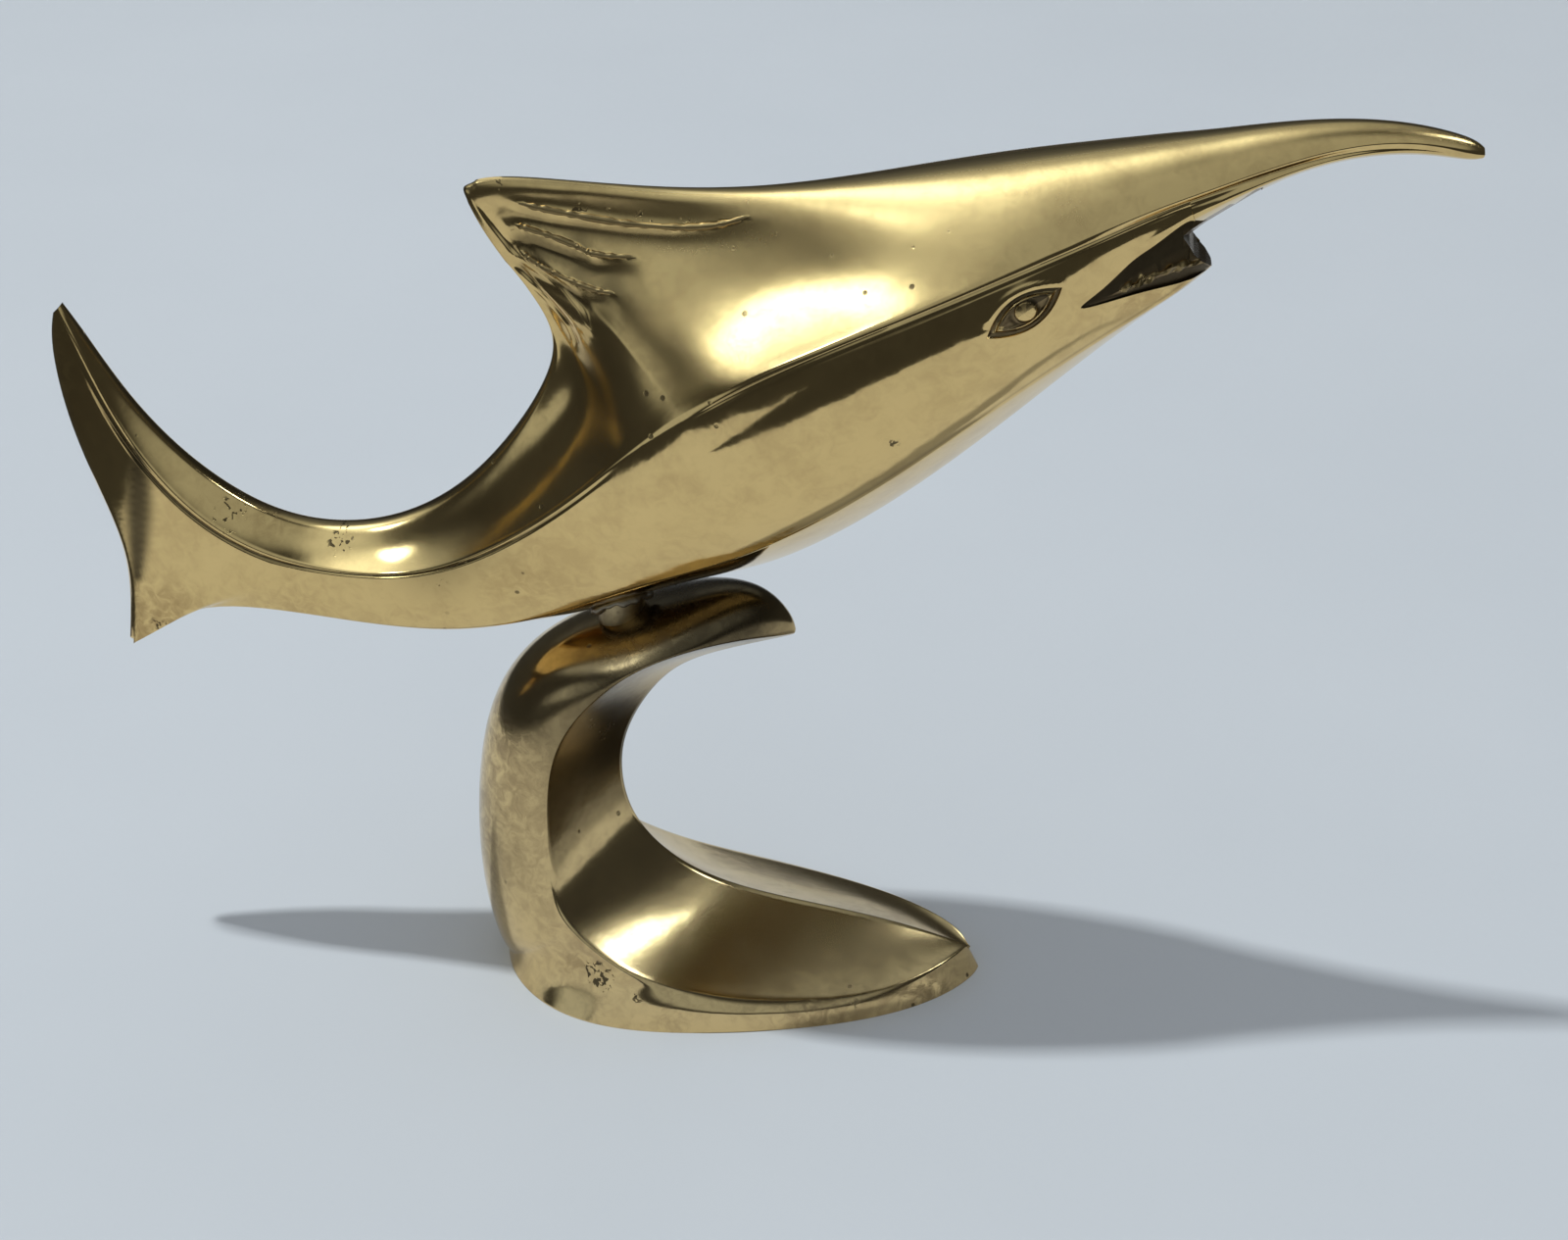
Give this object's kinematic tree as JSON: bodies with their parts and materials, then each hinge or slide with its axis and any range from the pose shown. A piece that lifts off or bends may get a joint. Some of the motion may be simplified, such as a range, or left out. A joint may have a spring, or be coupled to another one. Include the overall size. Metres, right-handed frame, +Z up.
{
  "type": "brass marlin figurine",
  "caption": "Stylised leaping billfish cast in solid brass, joined by a short post to a curled wave-shaped stand with a flat teardrop foot.",
  "frame": {"origin": "middle of the foot's flat underside, on the symmetry plane of the figurine", "axes": "+X along the fish from tail to bill, +Y across it to its left flank, +Z up from the surface it stands on"},
  "size_m": [0.2032, 0.0436, 0.1482],
  "materials": {
    "polished_brass": "polished, satin along the back, with age marks",
    "satin_brass": "satin with brown tarnish",
    "dull_brass": "dull, darkened by heat",
    "braze": "rough pale braze metal"
  },
  "bodies": {
    "root": {"fish_casting": "polished_brass", "wave_stand": "satin_brass", "mounting_post": "dull_brass", "braze_bead": "braze"}
  },
  "joints": []
}
